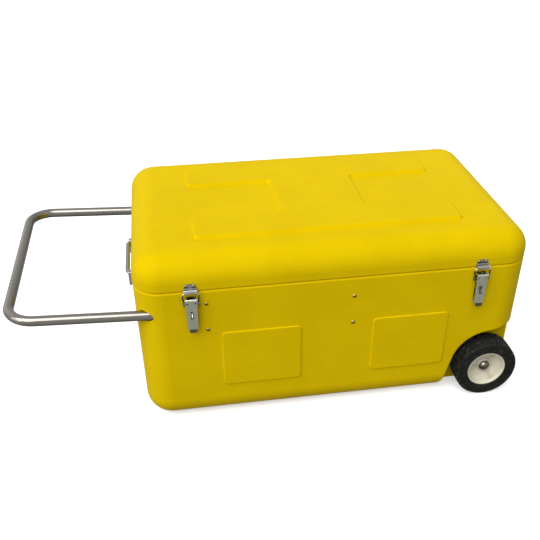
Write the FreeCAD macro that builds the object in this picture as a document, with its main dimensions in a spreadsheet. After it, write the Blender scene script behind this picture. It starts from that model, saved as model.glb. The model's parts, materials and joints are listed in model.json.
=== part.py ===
# Wheeled storage trunk with a hinged lid, two over-centre latches, a sliding tow handle and two wheels.
#
# Millimetres, +Z up. X runs along the trunk, with the wheels at +X and the tow handle at -X. The latched
# front faces -Y. The origin is on the floor, under the middle of the box. The lid is shut, the latches are
# shut and the tow handle is pulled out.
import FreeCAD
import Part
import math
import os
import Sketcher
from FreeCAD import Placement, Rotation, Vector

document = FreeCAD.newDocument("wheeled_trunk")
sheet = document.addObject("Spreadsheet::Sheet", "sizes")

SIZES = {
    # Box: a moulded tub and lid that share one plan
    "box_length": 1000,
    "box_depth": 614,
    "tub_height": 400,
    "lid_height": 83.2,
    "part_gap": 0.3,
    "corner_radius": 69,
    "lid_round": 61,
    "base_round": 65,
    "seam_round": 5,
    "side_draft": 0.3,
    "skin": 4.5,
    "rim_width": 16,
    "tub_rim": 14,
    "lid_rim": 10,
    # Wheel wells in the two lower corners at +X
    "arch_foot": 301,
    "arch_knee_x": 344.2,
    "arch_knee_z": 180,
    "arch_end_z": 208,
    "arch_radius": 98,
    "well_depth": 62,
    "well_round": 8,
    # Raised panels on the front and back, and on the lid
    "panel_near": 94,
    "panel_far": 294,
    "panel_low": 109,
    "panel_high": 273,
    "panel_rise": 2,
    "panel_corner": 10,
    "panel_round": 1.6,
    "deck_half": 344,
    "deck_inner": 95.5,
    "deck_outer": 204,
    "deck_neck": 115.5,
    "deck_rise": 8,
    "deck_corner": 12,
    "deck_slope": 30,
    "deck_round": 4,
    # Lid seal
    "seal_inset": 8.6,
    "seal_width": 5,
    "seal_height": 3,
    "seal_slack": 0.15,
    # Tow handle: one bent tube that slides in four guides
    "tube_radius": 12.7,
    "tube_wall": 1.6,
    "arm_offset": 287.5,
    "slide_angle": 2.68,
    "slide_x": 39.6,
    "slide_z": 308,
    "grip_reach": 841.5,
    "bend_radius": 65,
    "arm_tail": 23.5,
    "arm_clearance": 1.5,
    "stop_radius": 13.9,
    "stop_flange": 5,
    "plug_length": 20,
    # Guides and the bolts that hold them
    "guide_width": 44,
    "guide_face": 301.6,
    "guide_back": 271,
    "guide_margin": 9.5,
    "guide_fit": 0.08,
    "left_guide_x": -327.6,
    "left_bolt_high": 363,
    "left_bolt_low": 287.5,
    "right_bolt_high": 347.6,
    "right_bolt_low": 268.4,
    "bolt_radius": 3,
    "bolt_head": 5,
    "bolt_dome": 3,
    "nut_radius": 5.8,
    "nut_height": 5,
    "hole_slack": 0.1,
    # Wheels and axle
    "axle_x": 418.2,
    "axle_z": 85,
    "axle_radius": 6.35,
    "axle_tail": 14.5,
    "track": 302.1,
    "tyre_radius": 85,
    "tyre_half": 31.5,
    "tyre_shoulder": 8,
    "bead_radius": 52.7,
    "tread_depth": 2.6,
    "tread_count": 28,
    "rim_radius": 52.5,
    "rim_half": 27.8,
    "hub_radius": 17,
    "hub_inner": 37,
    "hub_outer": 8.5,
    "bush_radius": 9,
    "bush_fit": 0.05,
    "rib_width": 3,
    "rib_count": 3,
    "sleeve_radius": 12.5,
    "flange_half": 32,
    "flange_thick": 3,
    "flange_screws": 22,
    "cap_radius": 14.5,
    # Latches, set out from the front face
    "latch_x": 364,
    "pivot_out": 10,
    "pivot_z": 383,
    "link_out": 8,
    "link_z": 372,
    "hook_z": 409.5,
    "hook_radius": 6.4,
    "hook_half": 16.5,
    "hook_metal": 1.5,
    "hook_lip": 411,
    "keeper_half": 14,
    "keeper_top": 422.5,
    "keeper_rivet_x": 9.3,
    "keeper_rivet_z": 417,
    "sheet_metal": 1.6,
    "base_foot": 300,
    "base_half": 10.5,
    "base_rivet_x": 5.5,
    "base_rivet_low": 309,
    "base_rivet_high": 362,
    "ear_inner": 10.7,
    "ear_outer": 12.2,
    "ear_radius": 3.7,
    "cheek_inner": 12.7,
    "cheek_outer": 14.5,
    "cross_z": 400.6,
    "wire_radius": 2,
    "wire_half": 17.1,
    "wire_lean": 20,
    "wire_flare": 14,
    "wire_return": 26,
    "bail_bend": 6.5,
    "bail_eye": 4.4,
    "latch_pin": 2,
    "pin_head": 3.2,
    "pin_fit": 0.06,
    "lever_out": 16,
    "lever_metal": 1.8,
    "lever_top": 386,
    "lever_half": 14.6,
    "lever_waist": 369,
    "lever_waist_half": 13.9,
    "lever_foot": 303.5,
    "lever_foot_half": 12.4,
    "lever_hole_x": 9.9,
    "lever_hole_z": 376.5,
    "lever_hole": 2,
    "tip_half": 9.3,
    "slot_half": 3.1,
    "eye_z": 342.5,
    "eye_half": 1.25,
    "shackle_radius": 4,
    # Hinges on the back
    "hinge_x": 250,
    "hinge_out": 6.5,
    "knuckle_radius": 6,
    "hinge_pin": 3,
    "hinge_fit": 0.06,
    "hinge_half": 38,
    "knuckle_half": 12.6,
    "leaf_thick": 2.5,
    # Grab handles on the two ends
    "grab_z": 335.6,
    "grab_out": 19.3,
    "grab_foot": 87.5,
    "grab_radius": 6,
    "grab_lean": 40,
    "grab_bend": 8,
    "grab_ease": 10,
    "bracket_half": 7.5,
    "bracket_low": 32.6,
    "bracket_high": 7.4,
    "bracket_out": 18,
    "bracket_seat": 4,
    "bracket_round": 2.5,
    "bracket_screw_high": 13.5,
    "bracket_screw_low": 25,
    "recess_radius": 4.8,
    # Small domed screws and rivets
    "screw_radius": 1.8,
    "screw_head": 4.2,
    "screw_dome": 2.2,
    "screw_tail": 3.8,
}

for row, (alias, value) in enumerate(SIZES.items(), 1):
    sheet.set(f"A{row}", alias)
    sheet.set(f"B{row}", str(value))
    sheet.setAlias(f"B{row}", alias)
document.recompute()


class Size:
    """A length that carries its formula in the sheet along with its present value."""

    def __init__(self, text, number):
        self.text = text
        self.number = float(number)

    def __add__(self, other):
        other = as_size(other)
        return Size(f"({self.text} + {other.text})", self.number + other.number)

    def __sub__(self, other):
        other = as_size(other)
        return Size(f"({self.text} - {other.text})", self.number - other.number)

    def __mul__(self, other):
        other = as_size(other)
        return Size(f"({self.text} * {other.text})", self.number * other.number)

    def __truediv__(self, other):
        other = as_size(other)
        return Size(f"({self.text} / {other.text})", self.number / other.number)

    def __neg__(self):
        return Size(f"(0 - {self.text})", -self.number)

    def __radd__(self, other):
        return as_size(other) + self

    def __rsub__(self, other):
        return as_size(other) - self

    def __rmul__(self, other):
        return as_size(other) * self


def as_size(value):
    return value if isinstance(value, Size) else Size(repr(float(value)), value)


class Sheet:
    """Gives each alias of the sheet as a Size, so that s.box_length reads like a name."""

    def __getattr__(self, alias):
        return Size(f"sizes.{alias}", SIZES[alias])


s = Sheet()

PLANES = {"X": "YZ_Plane", "Y": "XZ_Plane", "Z": "XY_Plane"}
TURNS = {
    "+X": Rotation(Vector(0, 1, 0), 90),
    "-X": Rotation(Vector(0, 1, 0), -90),
    "+Y": Rotation(Vector(1, 0, 0), -90),
    "-Y": Rotation(Vector(1, 0, 0), 90),
    "+Z": Rotation(),
}


def bind(item, prop, size):
    item.setExpression(prop, as_size(size).text)


def place(item, at, turn=None):
    if turn is not None:
        item.Placement = Placement(Vector(0, 0, 0), turn)
    for axis, size in zip("xyz", at):
        bind(item, f"Placement.Base.{axis}", size)
    return item


def body(name, at=(0, 0, 0), turn=None):
    return place(document.addObject("PartDesign::Body", name), at, turn)


def origin_plane(owner, role):
    return next(item for item in owner.Origin.OriginFeatures if item.Role == role)


def hold_point(sketch, geometry, end, point):
    for kind, size in (("DistanceX", point[0]), ("DistanceY", point[1])):
        size = as_size(size)
        index = sketch.addConstraint(Sketcher.Constraint(kind, -1, 1, geometry, end, size.number))
        sketch.setExpression(f"Constraints[{index}]", size.text)


def arc_between(start, finish, radius, turn):
    """The short arc of a radius from start to finish, turning left (+1) or right (-1)."""
    middle = (start + finish) * 0.5
    half = (finish - start) * 0.5
    reach = max(radius**2 - half.Length**2, 0.0) ** 0.5
    left = Vector(-half.y, half.x, 0).normalize()
    centre = middle + left * (reach * turn)
    ends = (start, finish) if turn > 0 else (finish, start)
    angles = [math.atan2(point.y - centre.y, point.x - centre.x) for point in ends]
    return Part.ArcOfCircle(Part.Circle(centre, Vector(0, 0, 1), radius), *angles)


def draw_path(sketch, points, closed=True):
    """Points are (u, v), or (u, v, radius, turn) where an arc leads on to the next point."""
    count = len(points)
    spots = [Vector(as_size(p[0]).number, as_size(p[1]).number, 0) for p in points]
    first = sketch.GeometryCount
    segments = count if closed else count - 1
    starts = []
    for i in range(segments):
        start, finish = spots[i], spots[(i + 1) % count]
        if len(points[i]) == 4:
            radius = as_size(points[i][2])
            geometry = sketch.addGeometry(arc_between(start, finish, radius.number, points[i][3]), False)
            begins = points[i][3] > 0
            index = sketch.addConstraint(Sketcher.Constraint("Radius", geometry, radius.number))
            sketch.setExpression(f"Constraints[{index}]", radius.text)
        else:
            geometry = sketch.addGeometry(Part.LineSegment(start, finish), False)
            begins = True
        starts.append((geometry, 1 if begins else 2, 2 if begins else 1))
    for i in range(segments - 1 + closed):
        geometry, _, end = starts[i]
        following, start, _ = starts[(i + 1) % segments]
        sketch.addConstraint(Sketcher.Constraint("Coincident", geometry, end, following, start))
    for i in range(segments):
        hold_point(sketch, starts[i][0], starts[i][1], points[i])
    if not closed:
        hold_point(sketch, starts[-1][0], starts[-1][2], points[-1])
    return first


def ring(u, v, radius):
    return {"u": u, "v": v, "radius": radius}


def draw_ring(sketch, hole):
    radius = as_size(hole["radius"])
    centre = Vector(as_size(hole["u"]).number, as_size(hole["v"]).number, 0)
    geometry = sketch.addGeometry(Part.Circle(centre, Vector(0, 0, 1), radius.number), False)
    index = sketch.addConstraint(Sketcher.Constraint("Radius", geometry, radius.number))
    sketch.setExpression(f"Constraints[{index}]", radius.text)
    for kind, size in (("DistanceX", hole["u"]), ("DistanceY", hole["v"])):
        size = as_size(size)
        if abs(size.number) > 1e-9:
            index = sketch.addConstraint(Sketcher.Constraint(kind, -1, 1, geometry, 3, size.number))
            sketch.setExpression(f"Constraints[{index}]", size.text)
        else:
            onto = -2 if kind == "DistanceX" else -1
            sketch.addConstraint(Sketcher.Constraint("PointOnObject", geometry, 3, onto))


def draw(owner, name, axis, loops, offset=0):
    """A sketch square to an axis, at an offset along it; loops are paths or rings."""
    sketch = owner.newObject("Sketcher::SketchObject", name)
    sketch.AttachmentSupport = [(origin_plane(owner, PLANES[axis]), "")]
    sketch.MapMode = "FlatFace"
    offset = as_size(offset)
    bind(sketch, "AttachmentOffset.Base.z", -offset if axis == "Y" else offset)
    for loop in loops:
        if isinstance(loop, dict):
            draw_ring(sketch, loop)
        else:
            draw_path(sketch, loop)
    return sketch


def pad(owner, name, axis, loops, low, high, taper=None):
    """Extrudes loops between two levels of an axis. A taper narrows the far end."""
    low, high = as_size(low), as_size(high)
    sketch = draw(owner, name + "_outline", axis, loops, high if axis == "Y" else low)
    feature = owner.newObject("PartDesign::Pad", name)
    feature.Profile = sketch
    bind(feature, "Length", high - low)
    if taper is not None:
        bind(feature, "TaperAngle", taper)
    return feature


def pocket(owner, name, axis, loops, low, high):
    """Cuts loops out between two levels of an axis."""
    low, high = as_size(low), as_size(high)
    sketch = draw(owner, name + "_outline", axis, loops, low if axis == "Y" else high)
    feature = owner.newObject("PartDesign::Pocket", name)
    feature.Profile = sketch
    bind(feature, "Length", high - low)
    return feature


def fillet(owner, name, base, radius, chosen):
    """Rounds the edges of a feature whose bounds pass the test."""
    document.recompute()
    names = [f"Edge{i}" for i, edge in enumerate(base.Shape.Edges, 1) if chosen(edge.BoundBox)]
    feature = owner.newObject("PartDesign::Fillet", name)
    feature.Base = (base, names)
    bind(feature, "Radius", radius)
    document.recompute()
    return feature


def rectangle(u_low, v_low, u_high, v_high):
    return [(u_low, v_low), (u_high, v_low), (u_high, v_high), (u_low, v_high)]


def centred(u_size, v_size):
    u_half, v_half = as_size(u_size) / 2, as_size(v_size) / 2
    return rectangle(-u_half, -v_half, u_half, v_half)


def prism(name, axis, loops, low, high, at=(0, 0, 0), turn=None):
    owner = body(name, at, turn)
    pad(owner, name + "_pad", axis, loops, low, high)
    return owner


def turned(name, loops, at=(0, 0, 0), turn=None):
    """A solid of revolution about the local Y axis; loops are in (radius, position) pairs."""
    owner = body(name, at, turn)
    sketch = draw(owner, name + "_outline", "Z", loops)
    feature = owner.newObject("PartDesign::Revolution", name + "_turn")
    feature.Profile = sketch
    feature.ReferenceAxis = (sketch, ["V_Axis"])
    feature.Angle = 360
    return owner


def rod(name, radius, length, at, facing):
    item = document.addObject("Part::Cylinder", name)
    bind(item, "Radius", radius)
    bind(item, "Height", length)
    return place(item, at, TURNS[facing])


def fuse(name, items):
    item = document.addObject("Part::MultiFuse", name)
    item.Shapes = items
    return item


def cut(name, base, tools):
    item = document.addObject("Part::Cut", name)
    item.Base = base
    item.Tool = tools[0] if len(tools) == 1 else fuse(name + "_cuts", tools)
    return item


def group(name, items):
    item = document.addObject("Part::Compound", name)
    item.Links = items
    return item


def fastener(name, at, facing, shank, head, dome, grip, tail, tail_height, nut=False):
    """A domed head at a point of a surface, its shank, and a nut or a formed tail behind."""
    rise = as_size(dome)
    ball = (as_size(head) * head + rise * rise) / (rise * 2)
    cap = document.addObject("Part::Sphere", name + "_dome")
    bind(cap, "Radius", ball)
    latitude = Size(f"asin(({ball.text} - {rise.text}) / {ball.text})", 0)
    bind(cap, "Angle1", latitude)
    cap.Angle2 = 90
    place(cap, (0, 0, rise - ball))
    neck = rod(name + "_shank", shank, as_size(grip) + tail_height, (0, 0, -(grip + tail_height)), "+Z")
    if nut:
        end = document.addObject("Part::Prism", name + "_nut")
        end.Polygon = 6
        bind(end, "Circumradius", tail)
        bind(end, "Height", tail_height)
        place(end, (0, 0, -(grip + tail_height)))
    else:
        end = rod(name + "_tail", tail, tail_height, (0, 0, -(grip + tail_height)), "+Z")
    return place(fuse(name, [cap, neck, end]), at, TURNS[facing])


def screw(name, at, facing, grip):
    return fastener(name, at, facing, s.screw_radius, s.screw_head, s.screw_dome, grip, s.screw_tail, 1.5)


def screw_hole(name, at, facing, depth=30):
    """A clearance hole through a wall, centred on a point of its surface."""
    hole = rod(name, s.screw_radius + s.hole_slack, depth, (0, 0, -depth / 2), "+Z")
    return place(fuse(name + "_at", [hole, rod(name + "_core", 1, depth, (0, 0, -depth / 2), "+Z")]),
                 at, TURNS[facing])


def swept(name, path, rings, start, at, turn):
    """A pipe along an open path in the local XY plane, whose section stands square to X at the start."""
    owner = body(name, at, turn)
    spine = owner.newObject("Sketcher::SketchObject", name + "_path")
    spine.AttachmentSupport = [(origin_plane(owner, "XY_Plane"), "")]
    spine.MapMode = "FlatFace"
    draw_path(spine, path, closed=False)
    section = draw(owner, name + "_section", "X", rings, start)
    pipe = owner.newObject("PartDesign::AdditivePipe", name + "_pipe")
    pipe.Profile = section
    pipe.Spine = (spine, [])
    return owner


def across(points):
    """An open path from its first half: the half, then its mirror image back again."""
    back = []
    for i in range(len(points) - 1, -1, -1):
        point = (points[i][0], -as_size(points[i][1]))
        if i > 0 and len(points[i - 1]) == 4:
            point = point + points[i - 1][2:]
        back.append(point)
    return list(points) + back


half_length = s.box_length / 2
half_depth = s.box_depth / 2


def rounded_box(name, inset, low, high, draft=None):
    """A block on the box's plan, drawn in by an inset, with its upright corners rounded.

    A draft leans the sides inward toward the base, from the full plan at the top.
    """
    owner = body(name)
    plan = centred(s.box_length - inset * 2, s.box_depth - inset * 2)
    block = pad(owner, name + "_block", "Z", [plan], low, high)
    block = fillet(owner, name + "_corners", block, s.corner_radius - inset, lambda b: b.ZLength > 2.5)
    if draft is not None:
        faces = list(enumerate(block.Shape.Faces, 1))
        sides = [f"Face{i}" for i, face in faces if face.BoundBox.ZLength > 1]
        crown = [f"Face{i}" for i, face in faces if face.BoundBox.ZMin > as_size(high).number - 0.001]
        lean = owner.newObject("PartDesign::Draft", name + "_draft")
        lean.Base = (block, sides)
        lean.NeutralPlane = (block, crown)
        lean.Reversed = True
        bind(lean, "Angle", draft)
        block = lean
        document.recompute()
    return owner, block


def arch(grow):
    """The outline of a wheel well on the front or back, open below and at the end."""
    return [
        (s.arch_foot - grow, -1),
        (half_length + 10, -1),
        (half_length + 10, s.arch_end_z + grow),
        (s.arch_knee_x - grow, s.arch_knee_z + grow),
    ]


def wells(owner, name, top, grow):
    """Cuts both wheel wells, with a rounded knee, out of a block."""
    depth = s.well_depth + grow
    for side, low, high in (
        ("front", -(half_depth + 1), -(half_depth - depth)),
        ("back", half_depth - depth, half_depth + 1),
    ):
        top = pocket(owner, f"{name}_{side}_well", "Y", [arch(grow)], low, high)
    x, z = s.arch_knee_x.number - as_size(grow).number, s.arch_knee_z.number + as_size(grow).number
    return fillet(owner, name + "_knees", top, s.arch_radius + grow,
                  lambda b: b.XLength < 0.001 and b.ZLength < 0.001
                  and abs(b.XMin - x) < 1 and abs(b.ZMin - z) < 1)


# Tub: the outside, with its base rounded, its wells cut and its panels raised
tub_outer, top = rounded_box("tub_outer", 0, 0, s.tub_height, s.side_draft)
top = fillet(tub_outer, "base_edge", top, s.base_round, lambda b: b.ZMax < 0.001)
top = wells(tub_outer, "outer", top, 0)
top = fillet(tub_outer, "well_mouths", top, s.well_round,
             lambda b: b.XMin > 295 and b.ZMax < 215 and max(-b.YMin, b.YMax) > 305
             and not (b.XLength < 0.001 and b.ZLength < 0.001))
well_wall = half_depth.number - s.well_depth.number
top = fillet(tub_outer, "well_corners", top, s.well_round,
             lambda b: 290 < b.XMin < 497 and 1 < b.ZMax < 215 and b.YLength < 0.001
             and abs(abs(b.YMin) - well_wall) < 0.001 and not (b.ZMin < 1 and b.XMin > 429))
top = fillet(tub_outer, "tub_seam", top, s.seam_round, lambda b: b.ZMin > s.tub_height.number - 0.001)
panels = [
    rectangle(s.panel_near, s.panel_low, s.panel_far, s.panel_high),
    rectangle(-s.panel_far, s.panel_low, -s.panel_near, s.panel_high),
]
face_out = half_depth.number + s.panel_rise.number
for side, low, high in (
    ("front", -(half_depth + s.panel_rise), -(half_depth - 3)),
    ("back", half_depth - 3, half_depth + s.panel_rise),
):
    top = pad(tub_outer, f"{side}_panels", "Y", panels, low, high)
    sign = -1 if side == "front" else 1
    top = fillet(tub_outer, f"{side}_panel_corners", top, s.panel_corner,
                 lambda b: b.XLength < 0.001 and b.ZLength < 0.001
                 and abs(sign * (b.YMax if sign > 0 else b.YMin) - face_out) < 0.001)
    top = fillet(tub_outer, f"{side}_panel_edges", top, s.panel_round,
                 lambda b: b.YLength < 0.001 and abs(sign * b.YMin - face_out) < 0.001)

# Tub: the inside, which follows the wells and narrows to a stiff rim at the top
rim_z = s.tub_height - s.tub_rim
tub_inner, top = rounded_box("tub_inner", s.skin, s.skin, rim_z, s.side_draft)
top = fillet(tub_inner, "inner_base_edge", top, s.base_round - s.skin,
             lambda b: b.ZMax < s.skin.number + 0.001)
top = wells(tub_inner, "inner", top, s.skin)
tub_mouth, _ = rounded_box("tub_mouth", s.rim_width, rim_z - 4, s.tub_height + 1)

# Tow handle: its frame is tilted with the slide, and its local X points inward along the arms
slide_turn = Rotation(Vector(0, 1, 0), s.slide_angle.number)
slide_at = (s.slide_x, 0, s.slide_z)
tow_handle = swept("tow_handle", across([
    (s.arm_tail, s.arm_offset),
    (-(s.grip_reach - s.bend_radius), s.arm_offset, s.bend_radius, 1),
    (-s.grip_reach, s.arm_offset - s.bend_radius),
]), [ring(s.arm_offset, 0, s.tube_radius), ring(s.arm_offset, 0, s.tube_radius - s.tube_wall)],
    s.arm_tail, slide_at, slide_turn)
stops = []
for sign in (-1, 1):
    plug = [
        (0, -s.plug_length),
        (s.tube_radius - s.tube_wall - 0.05, -s.plug_length),
        (s.tube_radius - s.tube_wall - 0.05, 0),
        (s.stop_radius, 0),
        (s.stop_radius, s.stop_flange - 1),
        (s.stop_radius - 1, s.stop_flange),
        (0, s.stop_flange),
    ]
    side = "front" if sign < 0 else "back"
    stops.append(turned(f"arm_stop_{side}", [plug], (s.arm_tail, s.arm_offset * sign, 0),
                        Rotation(Vector(0, 0, 1), -90)))
arm_stops = place(group("arm_stops", stops), slide_at, slide_turn)


def arm_bores(name, radius, low, high):
    """Two cylinders on the lines of the arms, between two places along them."""
    rings = [ring(-s.arm_offset, 0, radius), ring(s.arm_offset, 0, radius)]
    return prism(name, "X", [rings[0]], low, high, slide_at, slide_turn), \
        prism(name + "_back", "X", [rings[1]], low, high, slide_at, slide_turn)


# Guides: four blocks bolted inside the front and back walls, each with a running bore
guides = []
guide_bolts = []
bolt_holes = []
stations = (
    ("left", s.left_guide_x, s.left_bolt_low, s.left_bolt_high),
    ("right", s.slide_x, s.right_bolt_low, s.right_bolt_high),
)
for station, x, low, high in stations:
    for sign, side, facing in ((-1, "front", "-Y"), (1, "back", "+Y")):
        name = f"guide_{station}_{side}"
        near, far = (s.guide_back, s.guide_face) if sign > 0 else (-s.guide_face, -s.guide_back)
        block = prism(name + "_block", "Y", [
            rectangle(x - s.guide_width / 2, low - s.guide_margin,
                      x + s.guide_width / 2, high + s.guide_margin),
        ], near, far)
        bore = prism(name + "_bore", "X", [ring(s.arm_offset * sign, 0, s.tube_radius + s.guide_fit)],
                     x - s.slide_x - 40, x - s.slide_x + 40, slide_at, slide_turn)
        holes = []
        for level, z in (("low", low), ("high", high)):
            at = (x, half_depth * sign, z)
            grip = half_depth - s.guide_back
            guide_bolts.append(fastener(f"bolt_{station}_{side}_{level}", at, facing, s.bolt_radius,
                                        s.bolt_head, s.bolt_dome, grip, s.nut_radius, s.nut_height, nut=True))
            hole = rod(f"bolt_hole_{station}_{side}_{level}", s.bolt_radius + s.hole_slack, 60,
                       (x, (half_depth + 10) * sign, z), "-Y" if sign > 0 else "+Y")
            holes.append(hole)
            bolt_holes.append(hole)
        guides.append(cut(name, block, [bore] + holes))
handle_guides = group("handle_guides", guides)
guide_bolt_group = group("guide_bolts", guide_bolts)

# Wheels: each is drawn about the local Y axis, which points out of the trunk
OUTWARD = {"front": Rotation(Vector(0, 0, 1), 180), "back": Rotation()}
SIGN = {"front": -1, "back": 1}


def wheel(side):
    at = (s.axle_x, s.track * SIGN[side], s.axle_z)
    turn = OUTWARD[side]
    shoulder = s.tyre_half - s.tyre_shoulder
    floor = s.tyre_radius - s.tread_depth
    outline = [
        (s.bead_radius, -(s.rim_half - 2)),
        (s.bead_radius + 3, -(s.rim_half + 1)),
        (s.bead_radius + 11, -s.tyre_half),
        (s.tyre_radius - s.tyre_shoulder, -s.tyre_half, s.tyre_shoulder, 1),
        (s.tyre_radius, -shoulder),
        (s.tyre_radius, -2.2),
        (floor, -2.2),
        (floor, 2.2),
        (s.tyre_radius, 2.2),
        (s.tyre_radius, shoulder, s.tyre_shoulder, 1),
        (s.tyre_radius - s.tyre_shoulder, s.tyre_half),
        (s.bead_radius + 11, s.tyre_half),
        (s.bead_radius + 3, s.rim_half + 1),
        (s.bead_radius, s.rim_half - 2),
    ]
    tyre = turned(f"tyre_{side}", [outline], at, turn)
    grooves = [
        [(-35, -8.5), (-2, -1), (-2, 3), (-35, -4.5)],
        [(2, 0), (35, -7.5), (35, -3.5), (2, 4)],
    ]
    groove = pocket(tyre, f"tread_{side}", "X", grooves, floor, s.tyre_radius + 8)
    document.recompute()
    pattern = tyre.newObject("PartDesign::PolarPattern", f"tread_ring_{side}")
    pattern.Originals = [groove]
    pattern.Axis = (tyre.Origin.OriginFeatures[1], [""])
    pattern.Angle = 360
    bind(pattern, "Occurrences", s.tread_count)
    tyre.Tip = pattern

    rim_outline = [
        (s.bush_radius + 0.05, -s.hub_inner),
        (s.hub_radius - 1.5, -s.hub_inner),
        (s.hub_radius, -(s.hub_inner - 1.5)),
        (s.hub_radius + 2, 1),
        (s.rim_radius - 8, 12),
        (s.rim_radius - 4.5, 8),
        (s.rim_radius - 4.5, -(s.rim_half - 3)),
        (s.rim_radius - 2.5, -s.rim_half),
        (s.rim_radius, -s.rim_half),
        (s.rim_radius, s.rim_half),
        (s.rim_radius - 2.7, s.rim_half),
        (s.rim_radius - 5, s.rim_half - 3),
        (s.rim_radius - 6.5, 18.5),
        (s.hub_radius + 2.5, 7),
        (s.hub_radius, s.hub_outer),
        (s.bush_radius + 0.05, s.hub_outer),
    ]
    rim = turned(f"rim_{side}", [rim_outline], at, turn)
    rib = pad(rim, f"rib_{side}", "Z", [[
        (s.hub_radius - 3, 4),
        (s.rim_radius - 5, 14),
        (s.rim_radius - 5, 22.5),
        (s.hub_radius - 1, 10.5),
        (s.hub_radius - 3, 7),
    ]], 0, s.rib_width)
    rib.Midplane = True
    document.recompute()
    ribs = rim.newObject("PartDesign::PolarPattern", f"rib_ring_{side}")
    ribs.Originals = [rib]
    ribs.Axis = (rim.Origin.OriginFeatures[1], [""])
    ribs.Angle = 360
    bind(ribs, "Occurrences", s.rib_count)
    rim.Tip = ribs

    bush = turned(f"hub_bush_{side}", [rectangle(s.axle_radius + s.bush_fit, -s.hub_inner,
                                                  s.bush_radius, s.hub_outer)], at, turn)
    return tyre, rim, bush


wheel_parts = wheel("front") + wheel("back")

# Axle: a rod through a sealed sleeve, with flanges on the wells and a domed cap on each end
axle_half = s.track + s.axle_tail
axle = rod("axle", s.axle_radius, axle_half * 2, (s.axle_x, -axle_half, s.axle_z), "+Y")
sleeve_end = half_depth - s.well_depth - s.skin - 0.2
axle_sleeve = turned("axle_sleeve", [
    rectangle(s.axle_radius + 0.25, -sleeve_end, s.sleeve_radius, sleeve_end),
], (s.axle_x, 0, s.axle_z))
flanges = []
flange_screws = []
spacers = []
caps = []
axle_holes = []
flange_face = half_depth - s.well_depth
cap_rise = 15 - math.sqrt(15 ** 2 - (s.cap_radius.number - 1) ** 2)
for side in ("front", "back"):
    sign = SIGN[side]
    facing = "-Y" if sign < 0 else "+Y"
    centre = (s.axle_x, 0, s.axle_z)
    near, far = (flange_face, flange_face + s.flange_thick) if sign > 0 else \
        (-(flange_face + s.flange_thick), -flange_face)
    spots = [(dx, dz) for dx in (-1, 1) for dz in (-1, 1)]
    plate = body(f"flange_{side}", centre)
    step = pad(plate, f"flange_{side}_pad", "Y", [centred(s.flange_half * 2, s.flange_half * 2)]
               + [ring(0, 0, s.axle_radius + 0.1)]
               + [ring(s.flange_screws * dx, s.flange_screws * dz, s.screw_radius + s.hole_slack)
                  for dx, dz in spots], near, far)
    fillet(plate, f"flange_{side}_corners", step, 8,
           lambda b: b.XLength < 0.001 and b.ZLength < 0.001 and b.YLength > 2)
    flanges.append(plate)
    for number, (dx, dz) in enumerate(spots, 1):
        at = (s.axle_x + s.flange_screws * dx, (flange_face + s.flange_thick) * sign,
              s.axle_z + s.flange_screws * dz)
        flange_screws.append(screw(f"flange_screw_{side}_{number}", at, facing,
                                   s.flange_thick + s.skin + 0.3))
        axle_holes.append(screw_hole(f"flange_hole_{side}_{number}", at, facing))
    at = (s.axle_x, s.track * sign, s.axle_z)
    inner_end = s.track - flange_face - s.flange_thick
    spacers.append(turned(f"spacer_{side}", [
        rectangle(s.axle_radius + 0.1, -inner_end, 11, -(s.hub_inner + 0.4))], at, OUTWARD[side]))
    spacers.append(turned(f"washer_{side}", [
        rectangle(s.axle_radius + 0.1, s.hub_outer + 0.4, 13, s.hub_outer + 2.2)], at, OUTWARD[side]))
    base = s.hub_outer + 2.2
    caps.append(turned(f"cap_{side}", [[
        (0, s.axle_tail + 0.2),
        (s.axle_radius + 0.1, s.axle_tail + 0.2),
        (s.axle_radius + 0.1, base),
        (s.cap_radius, base),
        (s.cap_radius, base + 1.4),
        (s.cap_radius - 1, base + 1.8, 15, 1),
        (0, base + 1.8 + cap_rise),
    ]], at, OUTWARD[side]))
axle_holes.append(rod("axle_hole", s.axle_radius + 0.25, 540, (s.axle_x, -270, s.axle_z), "+Y"))
axle_flanges = group("axle_flanges", flanges)
flange_screw_group = group("flange_screws", flange_screws)
axle_spacers = group("axle_spacers", spacers)
axle_caps = group("axle_caps", caps)

# Latches: the local origin is on the front face under each latch, and -Y is outward
tub_holes = []
lid_holes = []
latch_bases = []
latch_pins = []
base_rivets = []
keepers = []
keeper_rivets = []
latch_moving = []
UPRIGHT = Rotation(Vector(0, 0, 1), Vector(1, 0, 0), Vector(0, 1, 0), "ZXY")
lean_sine = Size("sin(sizes.wire_lean)", math.sin(math.radians(SIZES["wire_lean"])))
lean_rise = Size("(1 - cos(sizes.wire_lean))", 1 - math.cos(math.radians(SIZES["wire_lean"])))
wire_sweep = s.wire_flare + s.wire_return


def both_sides(name, loops, low, high, at):
    """The same plate on both sides of a latch, square to X."""
    right = prism(name + "_right", "X", loops, low, high, at)
    left = prism(name + "_left", "X", loops, -as_size(high), -as_size(low), at)
    return [right, left]


def round_about(u, v, radius, quarters):
    """Points of quarter arcs about a centre, through the compass points named."""
    steps = {"e": (1, 0), "n": (0, 1), "w": (-1, 0), "s": (0, -1)}
    order = "enws"
    left = order[(order.index(quarters[0]) + 1) % 4] == quarters[1]
    points = []
    for number, quarter in enumerate(quarters):
        du, dv = steps[quarter]
        point = (u + radius * du, v + radius * dv)
        if number < len(quarters) - 1:
            point = point + (radius, 1 if left else -1)
        points.append(point)
    return points


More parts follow.
